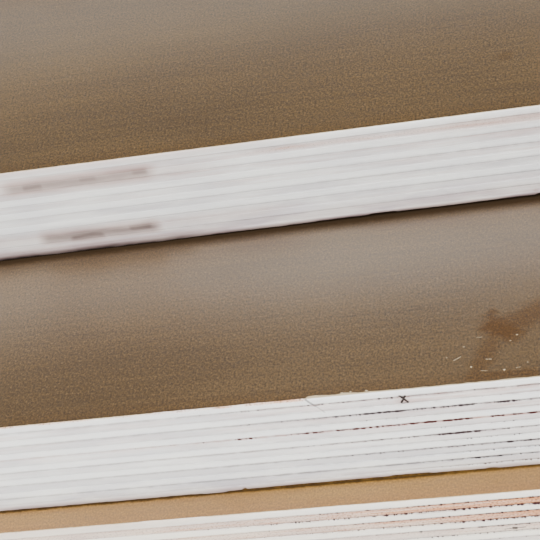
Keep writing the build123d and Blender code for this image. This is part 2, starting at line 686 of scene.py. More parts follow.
        # A dash is half a millimetre to one and a half long, and its ends taper.
        dash = Grain(0.5, 0.37, self.seed + 4, roughness=0.7).build(tree, at.along, line)
        half = peaks(tree, dash, at.open, (0.76, 0.33), 0.2, most=self.BOLDEST_DASH)
        inner = add(tree, "Math", (half, away), operation="SUBTRACT")
        gap = add(tree, "MapRange", (inner, -0.03, 0.03), interpolation_type="SMOOTHSTEP")
        pits = peaks(tree, at.pore, at.open, (0.74, 0.52), 0.05)
        beside = add(tree, "MapRange", (away, *self.PITTED, 0.8, 0.0))
        pits = add(tree, "Math", (pits, beside), operation="MULTIPLY")
        gap = add(tree, "Math", (gap, pits), operation="MAXIMUM")
        broken = Grain(2.2, 0.6, self.seed + 5).build(tree, at.along, line)
        broken = add(tree, "Math", (broken, 2.6, -0.55), operation="MULTIPLY_ADD", use_clamp=True)
        soft = add(tree, "MapRange", (away, 0.0, self.line_width, 1.0, 0.0),
                   interpolation_type="SMOOTHSTEP")
        for share in (broken, at.shadow):
            soft = add(tree, "Math", (soft, share), operation="MULTIPLY")
        glue, inside = (
            add(tree, "Mix", {"Factor": at.red, "A": linear(grey), "B": linear(red)}, data_type="RGBA")
            for grey, red in ((self.GLUE, self.RESIN), (self.GREY_GAP, self.RED_GAP)))
        for cover, coat in ((soft, glue), (gap, inside)):
            colour = add(tree, "Mix", {"Factor": cover, "A": colour, "B": coat}, data_type="RGBA")
        return colour, gap


@dataclass(frozen=True)
class FilmFace:
    """Resin-soaked paper film, hot pressed on birch: smooth, satin and a little hazy.

    The grain of the veneer below shows as faint streaks, and handling leaves a pale haze.

    Attributes:
        name: Name of the finish.
        seed: Which of the random patterns it wears.
        resin: sRGB colour of the film.
        deep: sRGB colour of the film where it is darkest.
        warm: sRGB colour of the film where no haze dulls it.
        gloss: How much of the surface is glossy resin at the left and at the right, from 0 to 1.
        front_gloss: Share of that gloss that hands have left along the front edge.
        speckled: How much darker and lighter its fine grit is.
        rests: The line along which the next sheet's edge rests, painted dark with dirt and with the shade
            that the sheet above casts there.
        patches: Broad strokes without haze, near the front edge.
        flecks: Small strokes of white paint on the film.
        dots: Small dark strokes.
    """

    name: str
    seed: int
    resin: str = "#564224"
    deep: str = "#43321b"
    warm: str = "#452d0c"
    gloss: tuple[float, float] = (0.65, 0.65)
    front_gloss: float = 1.0
    speckled: float = 1.0
    rests: tuple[Stroke, ...] = ()
    patches: tuple[Stroke, ...] = ()
    flecks: tuple[Stroke, ...] = ()
    dots: tuple[Stroke, ...] = ()

    PAINT = "#bfac8a"
    DUST = "#c7b79f"
    # Colour of the dark spots, and of the dirt and painted shade along the line where the next sheet rests.
    DARK = "#2e2318"
    RESIN_IOR = 1.5
    # At a low angle the film mirrors more than its resin alone would, so its coat is set higher.
    COAT_IOR = 2.0
    SPECULAR = 0.5
    ROUGHNESS = 0.4
    PAINT_ROUGHNESS = 0.6
    RELIEF = 0.012
    # Places along the front edge between which the gloss changes from its left to its right value.
    GLOSS_CHANGES = (-45.0, 10.0)
    # Distances behind the front edge over which rubbed film and handled film give way to plain.
    RUBBED = (0.3, 4.0)
    HANDLED = (10.0, 32.0)
    # How ragged the outlines of the marks are, in millimetres, and the distances from the outline
    # over which the paint that laps onto the film ends.
    PATCH_FRAY = 3.2
    DIRT_AND_SHADE_FRAY = 0.8
    DOT_FRAY = 0.3
    FLECK_FRAY = 0.2
    LAP_FRAY = 0.3
    LAP_ENDS = (0.38, 0.5)

    def material(self) -> bpy.types.Material:
        """Make the finish.

        Returns:
            The material.
        """
        material, tree = new_material(self.name)
        x, y, beyond_lap = stored(tree, "face_place")
        place = add(tree, "CombineXYZ", (x, y))
        # Grain telegraphs through the film: streaks about 25 mm long and 0.9 mm apart.
        grain = Grain(25.0, 0.9, self.seed, 4.0).build(tree, x, y)
        # The press plate leaves a grit of a few hundredths of a millimetre. It is drawn ten times
        # as coarse, so that it shows.
        grit = Grain(0.32, 0.42, self.seed + 1, 2.4, 0.78).build(tree, x, y)
        # Resin soaks in unevenly, in patches as large as a hand, and marks have ragged outlines.
        cloud = Grain(55.0, 20.0, self.seed + 2, 5.0).build(tree, x, y)
        ragged = Grain(2.0, 1.3, self.seed + 3, 4.0, 0.7).build(tree, x, y)

        # The film is deeper in colour just behind the arris, where hands and paint rags pass.
        rubbed = add(tree, "MapRange", (y, *self.RUBBED, 0.45, 0.0), interpolation_type="SMOOTHSTEP")
        rubbed = add(tree, "Math", (rubbed, cloud), operation="MULTIPLY")
        clear = strokes_mask(tree, self.patches, place, ragged, self.PATCH_FRAY)
        clear = add(tree, "Math", (clear, rubbed), operation="MAXIMUM")
        dust = add(tree, "MapRange", (grit, 0.66, 0.8, 0.0, 0.3))
        # Along the line where the next sheet rests, the film is painted darker for dirt and for the shade of
        # the sheet above and of the gap under it, and it mirrors less there.
        dirt_and_shade = strokes_mask(tree, self.rests, place, ragged, self.DIRT_AND_SHADE_FRAY)
        dark = strokes_mask(tree, self.dots, place, grit, self.DOT_FRAY)
        dark = add(tree, "Math", (dark, dirt_and_shade), operation="MAXIMUM")
        lapped = add(tree, "Math", (grit, self.LAP_FRAY, beyond_lap), operation="MULTIPLY_ADD")
        lapped = add(tree, "MapRange", (lapped, *self.LAP_ENDS, 1.0, 0.0))
        white = strokes_mask(tree, self.flecks, place, grit, self.FLECK_FRAY)
        white = add(tree, "Math", (white, lapped), operation="MAXIMUM")

        tone = 0.0
        for pattern, share in ((grain, 0.3), (cloud, 0.35), (grit, 0.35)):
            tone = add(tree, "Math", (pattern, share, tone), operation="MULTIPLY_ADD")
        tone = add(tree, "MapRange", (tone, 0.4, 0.6))
        colour = linear(self.deep)
        for cover, coat in ((tone, self.resin), (clear, self.warm)):
            colour = add(tree, "Mix", {"Factor": cover, "A": colour, "B": linear(coat)}, data_type="RGBA")
        speckle = add(tree, "MapRange", (grit, 0.3, 0.7, 1 - self.speckled, 1 + self.speckled), clamp=False)
        colour = add(tree, "Mix", {"Factor": 1.0, "A": colour, "B": speckle}, data_type="RGBA",
                     blend_type="MULTIPLY")
        for cover, coat in ((dust, self.DUST), (dark, self.DARK), (white, self.PAINT)):
            colour = add(tree, "Mix", {"Factor": cover, "A": colour, "B": linear(coat)}, data_type="RGBA")

        relief = 0.0
        for pattern, share in ((grain, 0.4), (grit, 0.6), (white, 3.0)):
            relief = add(tree, "Math", (pattern, share, relief), operation="MULTIPLY_ADD")
        bump = add(tree, "Bump", {"Height": relief, "Strength": 1.0, "Distance": self.RELIEF * MM})
        rough = add(tree, "MapRange", (white, 0.0, 1.0, self.ROUGHNESS, self.PAINT_ROUGHNESS))
        clean_and_unshaded = add(tree, "Math", (1.0, dirt_and_shade), operation="SUBTRACT")
        gloss = add(tree, "MapRange", (x, *self.GLOSS_CHANGES, *self.gloss))
        handled = add(tree, "MapRange", (y, *self.HANDLED, self.front_gloss, 1.0),
                      interpolation_type="SMOOTHSTEP")
        shine = add(tree, "Math", (clear, -0.85, 1.0), operation="MULTIPLY_ADD")
        for share in (gloss, handled, clean_and_unshaded):
            shine = add(tree, "Math", (shine, share), operation="MULTIPLY")
        surface = {"Base Color": colour, "Roughness": rough, "Normal": bump, "IOR": self.RESIN_IOR,
                   "Coat Weight": shine, "Coat IOR": self.COAT_IOR, "Coat Roughness": self.ROUGHNESS}
        if self.rests:
            surface["Specular IOR Level"] = add(tree, "Math", (clean_and_unshaded, self.SPECULAR), operation="MULTIPLY")
        shader = add(tree, "BsdfPrincipled", surface)
        add(tree, "OutputMaterial", {"Surface": shader})
        return material


@dataclass
class Rim:
    """The run round a square sheet's outline, as the columns of its edge mesh.

    Attributes:
        half_side: Half the sheet's side, in millimetres.
        fine_step: Distance between columns where the front edge is seen from close by, or 0 for
            no such stretch.
        fine: Start and end of that stretch.
        coarse_step: Distance between columns elsewhere.
        corner: Radius of its corners, seen from above.
        corner_steps: Columns in each rounded corner.
        place: Where each column stands along the rim, 0 at the middle of the front edge.
        point: Each column's point on the outline.
        crossed: 0 on the front and back, 1 on the two ends, where the odd veneers are cut across.
        side: Number of the side that each column belongs to.
        share: Where each column stands along its side, from 0 to 1.
    """

    half_side: float
    fine_step: float
    fine: tuple[float, float] = (-50.0, 49.0)
    coarse_step: float = 14.0
    corner: float = 1.5
    corner_steps: int = 4
    place: np.ndarray = field(init=False)
    point: np.ndarray = field(init=False)
    crossed: np.ndarray = field(init=False)
    side: np.ndarray = field(init=False)
    share: np.ndarray = field(init=False)

    WIDENING = 1.18
    WIDENING_STEPS = 400
    # Least distance from the last widened column to the end of its side.
    END_GAP = 1.0

    def __post_init__(self) -> None:
        """Work out every column."""
        half = self.half_side - self.corner
        turns = (np.arange(self.corner_steps) + 0.5) / self.corner_steps * math.pi / 2
        length = 2 * half + self.corner * math.pi / 2
        places, points, sides, shares = [], [], [], []
        for number, side in enumerate(Side):
            out = np.array(side.value)
            run = np.array([-out[1], out[0]])
            is_fine = side is Side.FRONT and self.fine_step
            steps = self.crowded_steps(half) if is_fine else self.even_steps(half)
            arc = np.cos(turns)[:, None] * out + np.sin(turns)[:, None] * run
            points += [out * self.half_side + steps[:, None] * run, (out + run) * half + self.corner * arc]
            along = np.concatenate([half + steps, 2 * half + self.corner * turns])
            places.append(number * length - half + along)
            shares.append(along / length)
            sides.append(np.full(len(along), number))
        self.place, self.point = np.concatenate(places), np.concatenate(points)
        self.side, self.share = np.concatenate(sides), np.concatenate(shares)
        self.crossed = (self.side % 2).astype(float)

    def even_steps(self, half: float) -> np.ndarray:
        """Spread columns evenly from one end of a side to the other."""
        return np.linspace(-half, half, round(2 * half / self.coarse_step) + 1)

    def crowded_steps(self, half: float) -> np.ndarray:
        """Crowd the columns where the front edge is seen from close by.

        Args:
            half: Half the side's straight length.

        Returns:
            Column places from -half to half, with steps that widen away from the fine stretch.
        """
        fine = np.arange(*self.fine, self.fine_step)
        growth = self.WIDENING ** np.arange(self.WIDENING_STEPS)
        widening = np.cumsum(np.minimum(self.fine_step * growth, self.coarse_step))
        left, right = self.fine[0] - widening, fine[-1] + widening
        reach = half - self.END_GAP
        return np.concatenate([[-half], left[left > -reach][::-1], fine, right[right < reach], [half]])


@dataclass
class Plywood:
    """One film-faced sheet whose sawn edges were brushed with white paint.

    Attributes:
        node: The CAD node it stands for.
        turn: Its turn in degrees, seen from above.
        seed: Which of the random patterns it wears.
        edge: Finish of its sawn edges.
        face: Finish of its two faces.
        section: Its veneers.
        lift: How far the lower arris stands clear of what it rests on, in millimetres: the
            least and the most round the sheet.
        lift_here: Places along the front edge where it is seen from close by, each with its lift.
        recess: How far end grain stands behind the long grain beside it.
        filled: Places along the front edge, each with how far paint fills that recess there.
        lines: Glue lines of the front edge where it is seen from close by.
        flaws: Flaws on its front edge, and painted shade along it.
        chips: Splinters off its front arrises.
        laps: Places along the front edge, each with how far paint laps onto the face there.
        bare_arris: Places along the front edge, each with how bare its upper arris is.
        fine_step: Column step in the stretch seen from close by, or 0 for none.
    """

    node: str
    turn: float
    seed: int
    edge: PaintedEdge
    face: FilmFace
    section: PlySection = PlySection()
    lift: tuple[float, float] = (0.1, 0.6)
    lift_here: Levels = ((-60, 0.3), (60, 0.3))
    recess: float = 0.12
    filled: Levels = ((-60, 0.3), (60, 0.3))
    lines: tuple[GlueLine, ...] = ()
    flaws: tuple[Flaw, ...] = ()
    chips: tuple[Chip, ...] = ()
    laps: Levels = ((-60, 0.02), (60, 0.02))
    bare_arris: Levels = ((-60, 0.2), (60, 0.2))
    fine_step: float = 0.27

    # How far each ring of the faces lies inside the outline.
    FACE_RINGS = (0.62, 1.1, 2.0, 4.0, 9.0, 20.0, 45.0)
    # Rows of the two arrises, from the top down: inset, and distance from the nearer face. Rows
    # that stand in farther than the last value lie on a face.
    UPPER_ARRIS = ((0.30, 0.0), (0.15, 0.05), (0.05, 0.15), (0.0, 0.32))
    LOWER_ARRIS = ((0.0, 0.36), (0.05, 0.17), (0.16, 0.05), (0.34, 0.0))
    ON_FACE = 0.2
    # Height of the band at each arris that holds no other rows.
    UPPER_BAND = 0.4
    LOWER_BAND = 0.42
    # Rows beside each glue line, and where the others lie in a ply.
    LINE_OFFSETS = (0.14, 0.05, -0.05, -0.14)
    PLY_SHARES = (0.26, 0.5, 0.74)
    # Depth and half the width of an open glue line.
    GROOVE = 0.16
    GROOVE_WIDTH = 0.09
    # How strong the shadow is along a closed glue line and along an open one, and how much of it
    # every other line has. Red resin comes in between these random levels, and a line that isn't
    # listed has a little of it.
    CLOSED_SHADOW = 0.25
    OPEN_SHADOW = 0.75
    WEAK_LINES = 0.4
    RED_LEVELS = (0.55, 0.85)
    SLIGHTLY_RED = 0.15
    # Height of the band in which each glue line wanders, how much less that is where it is seen
    # from close by, and the distances from either face over which it comes free to wander.
    BEND = 0.35
    LESS_BEND_HERE = 0.2
    BEND_FREE = (0.4, 2.0)
    # An arris's size without its random wear, and its least size, as shares of the usual one.
    PLAIN_ARRIS = 0.35
    LEAST_ARRIS = 0.1
    # Depths below the top face between which paint wears off the upper arris.
    BARE_FROM, BARE_FULLY = 0.4, 0.12
    # Distances from the middle of the front edge over which its known values and its known lift
    # give way to random ones, and from the outline over which the underside comes to rest.
    WINDOW = (55.0, 160.0)
    LIFT_WINDOW = (70.0, 260.0)
    UNDERSIDE = (1.0, 45.0)

    def rows(self) -> tuple[np.ndarray, np.ndarray]:
        """List the edge mesh's rows from the top face down.

        Returns:
            How far each row stands in from the outline, and its height above the underside.
        """
        section = self.section
        last = section.core_count + 2
        height = []
        for number in range(1, last + 1):
            upper = section.glue_line(number - 1) if number > 1 else section.thickness
            lower = section.glue_line(number) if number < last else 0.0
            height += [upper - share * (upper - lower) for share in self.PLY_SHARES]
            if number < last:
                height += [lower + offset for offset in self.LINE_OFFSETS]
        height = [h for h in height if self.LOWER_BAND < h < section.thickness - self.UPPER_BAND]
        upper, lower = np.array(self.UPPER_ARRIS), np.array(self.LOWER_ARRIS)
        return (np.concatenate([upper[:, 0], np.zeros(len(height)), lower[:, 0]]),
                np.concatenate([section.thickness - upper[:, 1], height, lower[:, 1]]))

    def near_window(self, place: np.ndarray) -> np.ndarray:
        """1 where the front edge is seen from close by, falling to 0 further off."""
        return 1 - smooth_step(np.abs(place), *self.WINDOW)

    def openness(self, place: np.ndarray, rise: np.ndarray) -> tuple[np.ndarray, np.ndarray, np.ndarray]:
        """Work out how open each glue line is.

        Args:
            place: Place along the rim of each point of the edge.
            rise: Its height.

        Returns:
            Openness, strength of the shadow along the line, and redness, each from 0 to 1.
        """
        number = np.round(self.section.line_at(rise))
        inside = (number >= 1) & (number <= self.section.core_count + 1)
        strong = number % 2
        general = Drift(self.seed, Uneven.OPEN_LINES).over(place, number) * strong * self.edge.open_lines
        red = smooth_step(Drift(self.seed, Uneven.RED_LINES).over(place, number), *self.RED_LEVELS)
        here = self.near_window(place)
        known, known_red = np.zeros_like(place), np.full_like(place, self.SLIGHTLY_RED)
        for line in self.lines:
            known = np.where(number == line.number, level_at(line.opens, place), known)
            known_red = np.where(number == line.number, line.red, known_red)
        open_now = np.where(inside, general * (1 - here) + known * here, 0)
        base = self.CLOSED_SHADOW * (1 - here) + level_at(self.edge.soft_lines, place) * here
        closed = base * np.where(strong, 1.0, self.WEAK_LINES)
        shadow = np.where(inside, np.maximum(closed, self.OPEN_SHADOW * open_now), 0)
        return open_now, shadow, red * (1 - here) + known_red * here

    def relief(self, rim: Rim, height: np.ndarray) -> tuple[np.ndarray, dict[str, np.ndarray]]:
        """Work out how the sawn and painted edge departs from a plain one.

        Args:
            rim: The columns.
            height: The rows' heights.

        Returns:
            Inset in millimetres for each row and column, and what the finish needs to know there.
        """
        place, rise = np.meshgrid(rim.place, height)
        section, here = self.section, self.near_window(place)
        count = section.line_at(rise)
        ply = np.clip(np.floor(count), 0, section.core_count + 1)
        end_grain = (ply + rim.crossed[None, :]) % 2
        sunk = Drift(self.seed, Uneven.SUNK_PLIES).over(place, ply)
        bared = 1 - level_at(self.filled, place) * here
        inset = end_grain * self.recess * bared * sunk
        for kind in (Uneven.SAW_MARKS, Uneven.BRUSH_MARKS):
            inset += Drift(self.seed, kind).over(place, rise)
        opened, shadow, red = self.openness(place, rise)
        away = np.abs(count - np.round(count)) * section.core
        inset += self.GROOVE * opened * np.exp(-((away / self.GROOVE_WIDTH) ** 2))
        bare = level_at(self.bare_arris, place) * Drift(self.seed, Uneven.BARE_ARRIS).along(place)
        on_arris = smooth_step(rise, section.thickness - self.BARE_FROM, section.thickness - self.BARE_FULLY)
        wear = {kind: np.zeros_like(place) for kind in Wear}
        wear[Wear.BARE_WOOD] = on_arris * bare
        for flaw in self.flaws:
            wear[flaw.wear] = np.maximum(wear[flaw.wear], flaw.mark(place, rise))
        thin, pink = self.edge.cover(place, rise, ply, self.seed, here)
        return inset, {
            "joint": np.dstack([opened, shadow, red]),
            "wear": np.dstack([*wear.values(), np.zeros_like(place)]),
            "paint": np.dstack([thin, end_grain, pink]),
        }

    def arris_size(self, rim: Rim, arris: Arris) -> np.ndarray:
        """Work out how an arris is worn along its length.

        Args:
            rim: The columns.
            arris: Which of the two it is.

        Returns:
            How many times its usual size it is at each column.
        """
        broad, fine = (Drift(self.seed, kind).along(rim.place) for kind in arris.value)
        size = self.PLAIN_ARRIS + broad + fine
        for chip in self.chips:
            if chip.arris is arris:
                size += chip.growth(rim.place)
        return np.maximum(size, self.LEAST_ARRIS)

    def shape_edge(self, rim: Rim, relief: np.ndarray) -> tuple[np.ndarray, np.ndarray]:
        """Wear the arrises, bend the glue lines and lift the lower arris.

        Args:
            rim: The columns.
            relief: Inset of each point of the edge.

        Returns:
            Inset and height of each point of the edge, in millimetres.
        """
        thickness = self.section.thickness
        inset, height = (np.repeat(row[:, None], len(rim.place), 1) for row in self.rows())
        near_top, near_low = height > thickness - self.UPPER_BAND, height < self.LOWER_BAND
        size = np.where(near_top, self.arris_size(rim, Arris.UPPER),
                        np.where(near_low, self.arris_size(rim, Arris.LOWER), 1.0))
        inset = inset * size + np.where(inset > self.ON_FACE, 0, relief)
        # No veneer is of one thickness from end to end, so glue lines wander a little.
        place = np.broadcast_to(rim.place, height.shape)
        wander = Drift(self.seed, Uneven.WANDER).over(place, height)
        free = smooth_step(height, *self.BEND_FREE) * smooth_step(thickness - height, *self.BEND_FREE)
        bend = wander * (self.BEND - self.LESS_BEND_HERE * self.near_window(place)) * free
        height = np.where(near_top, thickness - (thickness - height) * size,
                          np.where(near_low, height * size, height + bend))
        return inset, height + self.lifts(rim) * np.clip(1 - height / self.section.outer, 0, 1)

    def lifts(self, rim: Rim) -> np.ndarray:
        """Work out how far the lower arris stands clear of what it rests on.

        Args:
            rim: The columns.

        Returns:
            The gap at each column, in millimetres.
        """
        least, most = self.lift
        free = least + (most - least) * Drift(self.seed, Uneven.LIFT).along(rim.place)
        here = 1 - smooth_step(np.abs(rim.place), *self.LIFT_WINDOW)
        return free * (1 - here) + level_at(self.lift_here, rim.place) * here

    def build(self) -> bpy.types.Object:
        """Build the sheet's mesh, dress it and set it in the CAD node's place.

        Returns:
            The finished object.
        """
        low, high = (np.array(corner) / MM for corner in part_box(self.node))
        middle, turn = (low + high) / 2, math.radians(self.turn)
        span = (high[0] - low[0]) / (abs(math.cos(turn)) + abs(math.sin(turn)))
        rim = Rim(span / 2, self.fine_step)
        relief, known = self.relief(rim, self.rows()[1])
        edge_inset, edge_height = self.shape_edge(rim, relief)
        lower = np.repeat(np.array(self.FACE_RINGS)[:, None], len(rim.place), 1)
        under = self.lifts(rim) * (1 - smooth_step(lower, *self.UNDERSIDE))
        # Rows run from the top face's innermost ring over the arris, down the edge and in below.
        inset = np.concatenate([lower[::-1], edge_inset, lower])
        height = np.concatenate([np.full_like(lower, self.section.thickness), edge_height, under])
        flat = rim.point * (1 - inset[..., None] / rim.half_side)
        heading = np.array([[math.cos(turn), math.sin(turn)], [-math.sin(turn), math.cos(turn)]])
        mesh = self.skin(np.dstack([flat @ heading + middle[:2], height + low[2]]) * MM)
        self.note_places(mesh, rim, flat, inset, known)
        self.lay_out_map(mesh, rim, flat)
        self.dress(mesh, len(rim.place))
        piece = bpy.data.objects.new(self.node + "_dressed", mesh)
        bpy.context.collection.objects.link(piece)
        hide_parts(self.node)
        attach(piece, "root")
        return piece

    def skin(self, points: np.ndarray) -> bpy.types.Mesh:
        """Join rows of points into a closed mesh.

        Args:
            points: For each row and column, a point in metres.

        Returns:
            The mesh: quads between the rows, then the two faces' flat middles.
        """
        rows, columns = points.shape[:2]
        column, row_start = np.arange(columns), np.arange(rows - 1)[:, None] * columns
        first, after = row_start + column, row_start + (column + 1) % columns
        quads = np.stack([first, first + columns, after + columns, after], -1).reshape(-1, 4)
        faces = quads.tolist() + [column.tolist(), ((rows - 1) * columns + column[::-1]).tolist()]
        mesh = bpy.data.meshes.new(self.node)
        mesh.from_pydata(points.reshape(-1, 3).tolist(), [], faces)
        return mesh

    def note_places(self, mesh: bpy.types.Mesh, rim: Rim, flat: np.ndarray, inset: np.ndarray,
                    known: dict[str, np.ndarray]) -> None:
        """Store on the mesh where each point lies on the sheet, for the finishes to read.

        Args:
            mesh: The sheet's mesh.
            rim: Its columns.
            flat: Each point's place in the sheet's own plane, in millimetres.
            inset: Each point's distance from the outline.
            known: Values for each point of the edge alone.
        """
        rings = len(self.FACE_RINGS)
        edge_rows = slice(rings, len(inset) - rings)
        height = np.zeros_like(inset)
        height[:rings] = self.section.thickness
        height[edge_rows] = self.rows()[1][:, None]
        place, unused = np.broadcast_to(rim.place, inset.shape), np.zeros_like(inset)
        lap = level_at(self.laps, rim.place) * Drift(self.seed, Uneven.PAINT_LAP).along(rim.place)
        stored_values = {
            "edge_place": np.dstack([place, height, unused]),
            "face_place": np.dstack([flat[..., 0], flat[..., 1] + rim.half_side, inset - lap]),
        }
        for name, values in known.items():
            stored_values[name] = np.zeros((*inset.shape, 3))
            stored_values[name][edge_rows] = values
        for name, values in stored_values.items():
            attribute = mesh.attributes.new(name, "FLOAT_VECTOR", "POINT")
            attribute.data.foreach_set("vector", values.reshape(-1).astype(np.float32))

    def lay_out_map(self, mesh: bpy.types.Mesh, rim: Rim, flat: np.ndarray) -> None:
        """Give the mesh a texture map on which the narrow edges get as much room as the faces.

        Args:
            mesh: The sheet's mesh.
            rim: Its columns.
            flat: Each point's place in the sheet's own plane, in millimetres.
        """
        rings, rows = len(self.FACE_RINGS), len(flat)
        # The two faces lie one above the other in the lower half, the four edges in the upper half.
        face_band, strip, gap = 0.245, 0.12, 0.002
        top_face, under_face, edges = gap, 3 * gap + face_band, 0.51
        share = np.append(rim.share, 0.0)
        follows = np.where(np.append(rim.side[1:], -1) == rim.side, share[1:], 1.0)
        uv = np.zeros((rows - 1, len(rim.place), 4, 2))
        down = np.linspace(1, 0, rows - 2 * rings)
        face = flat / (2 * rim.half_side) + 0.5
        for row in range(rows - 1):
            if rings <= row < rows - rings - 1:
                low = edges + rim.side * (strip + gap)
                top, bottom = (low + strip * down[row - rings + step] for step in (0, 1))
                ends = ((rim.share, top), (rim.share, bottom), (follows, bottom), (follows, top))
                uv[row] = np.stack([np.stack(end, -1) for end in ends], 1)
            else:
                here = [face[row], face[row + 1]]
                here += [np.roll(corner, -1, 0) for corner in here[::-1]]
                uv[row] = np.stack(here, 1) * (1, face_band) + (0, top_face if row < rings else under_face)
        upper_cap = face[0] * (1, face_band) + (0, top_face)
        under_cap = face[-1][::-1] * (1, face_band) + (0, under_face)
        layer = mesh.uv_layers.new(name="OFBake")
        values = np.concatenate([uv.reshape(-1, 2), upper_cap, under_cap])
        layer.data.foreach_set("uv", values.reshape(-1).astype(np.float32))

    def dress(self, mesh: bpy.types.Mesh, columns: int) -> None:
        """Give the edge and the two faces their finishes.

        Args:
            mesh: The sheet's mesh.
            columns: Columns round the sheet.
        """
        mesh.materials.append(self.edge.material(self.section))
        mesh.materials.append(self.face.material())
        rings, rows = len(self.FACE_RINGS), len(self.rows()[1])
        row = np.arange(len(mesh.polygons) - 2) // columns
        on_edge = (row >= rings) & (row < rings + rows - 1)
        slots = np.concatenate([np.where(on_edge, 0, 1), [1, 1]])
        mesh.polygons.foreach_set("material_index", slots.astype(np.int32))
        mesh.polygons.foreach_set("use_smooth", np.ones(len(slots), bool))
        mesh.update()


@dataclass(frozen=True)
class Viewpoint:
    """Where the camera stands: low over the stack's front edge, close up and rolled.

    Attributes:
        azimuth: Degrees from straight ahead, towards +X.
        elevation: Degrees above the horizon.
        roll: Degrees about the line of sight.
        distance: Metres from the point it looks at.
        behind: How far that point lies behind the bottom sheet's front edge, in metres.
        above: Its height above the floor.
        lens: Focal length in millimetres.
        nearest: Distance in metres from which things are in the picture.
    """

    azimuth: float = 14.82
    elevation: float = 38.20
    roll: float = -15.15
    distance: float = 0.3782
    behind: float = 0.0368
    above: float = 0.03613
    lens: float = 156.0
    nearest: float = 0.02

    def build(self) -> None:
        """Set the scene's camera."""
        low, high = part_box("sheet_bottom")
        aim = Vector(((low[0] + high[0]) / 2, low[1] + self.behind, self.above))
        azimuth, elevation, roll = (math.radians(a) for a in (self.azimuth, self.elevation, self.roll))
        back = Vector((math.cos(elevation) * math.sin(azimuth), -math.cos(elevation) * math.cos(azimuth),
                       math.sin(elevation)))
        right = Vector((0, 0, 1)).cross(back).normalized()
        up = back.cross(right)
        axes = Matrix((math.cos(roll) * right + math.sin(roll) * up,
                       math.cos(roll) * up - math.sin(roll) * right, back)).transposed()
        camera = bpy.data.objects.new("viewpoint", bpy.data.cameras.new("viewpoint"))
        camera.data.lens = self.lens
        camera.data.clip_start = self.nearest
        camera.matrix_world = Matrix.Translation(aim + back * self.distance) @ axes.to_4x4()
        bpy.context.collection.objects.link(camera)
        bpy.context.scene.camera = camera


@dataclass(frozen=True)
class Lamp:
    """A square lamp that points at the stack's front part.

    Attributes:
        name: Its name.
        power: In watts.
        size: Its side in metres.
        place: Where it hangs, in metres.
    """

    name: str
    power: float
    size: float
    place: tuple[float, float, float]

    AIM = (0.0, -0.5, 0.0)

    def hang(self) -> None:
        """Hang the lamp in its place."""
        lamp = bpy.data.lights.new(self.name, "AREA")
        lamp.energy = self.power
        lamp.size = self.size
        holder = bpy.data.objects.new(self.name, lamp)
        holder.location = self.place
        # Mirrored in the satin film, a lamp this large would hide the film's colour.
        holder.visible_glossy = False
        sight = Vector(self.AIM) - Vector(self.place)
        holder.rotation_euler = sight.to_track_quat("-Z", "Y").to_euler()
        bpy.context.collection.objects.link(holder)


@dataclass(frozen=True)
class Studio:
    """A pale floor, a pale surround and three large soft lamps.

    Attributes:
        floor_size: Side of the floor in metres.
        floor_colour: sRGB colour of the floor.
        floor_roughness: How matt it is, from 0 to 1.
        surround_colour: sRGB colour of the light that comes from all round.
        surround: Its strength.
        lamps: One at the front, a lower one beside it, and one behind the stack.
    """

    floor_size: float = 14.0
    floor_colour: str = "#d9d7d2"
    floor_roughness: float = 0.85
    surround_colour: str = "#f2f1ee"
    surround: float = 0.3
    lamps: tuple[Lamp, ...] = (
        Lamp("key", 156.0, 1.8, (-0.8, -2.0, 2.4)),
        Lamp("fill", 76.0, 1.8, (1.2, -2.6, 1.3)),
        Lamp("back", 40.0, 1.6, (-1.8, 2.8, 1.2)),
    )

    def build(self) -> None:
        """Make the floor, the surround and the lamps, and set how the picture is developed."""
        scene = bpy.context.scene
        scene.view_settings.view_transform = "AgX"
        scene.world = bpy.data.worlds.new("surround")
        scene.world.use_nodes = True
        background = scene.world.node_tree.nodes["Background"]
        background.inputs["Color"].default_value = linear(self.surround_colour)
        background.inputs["Strength"].default_value = self.surround
        self.lay_floor()
        for lamp in self.lamps:
            lamp.hang()

    def lay_floor(self) -> None:
        """Lay the floor under the stack, painted matt."""
        half = self.floor_size / 2
        mesh = bpy.data.meshes.new("floor")
        corners = [(-half, -half, 0), (half, -half, 0), (half, half, 0), (-half, half, 0)]
        mesh.from_pydata(corners, [], [(0, 1, 2, 3)])
        material, tree = new_material("matt_floor")
        shader = add(tree, "BsdfPrincipled", {"Base Color": linear(self.floor_colour),
                                              "Roughness": self.floor_roughness})
        add(tree, "OutputMaterial", {"Surface": shader})
        mesh.materials.append(material)
        floor = bpy.data.objects.new("floor", mesh)
        bpy.context.collection.objects.link(floor)


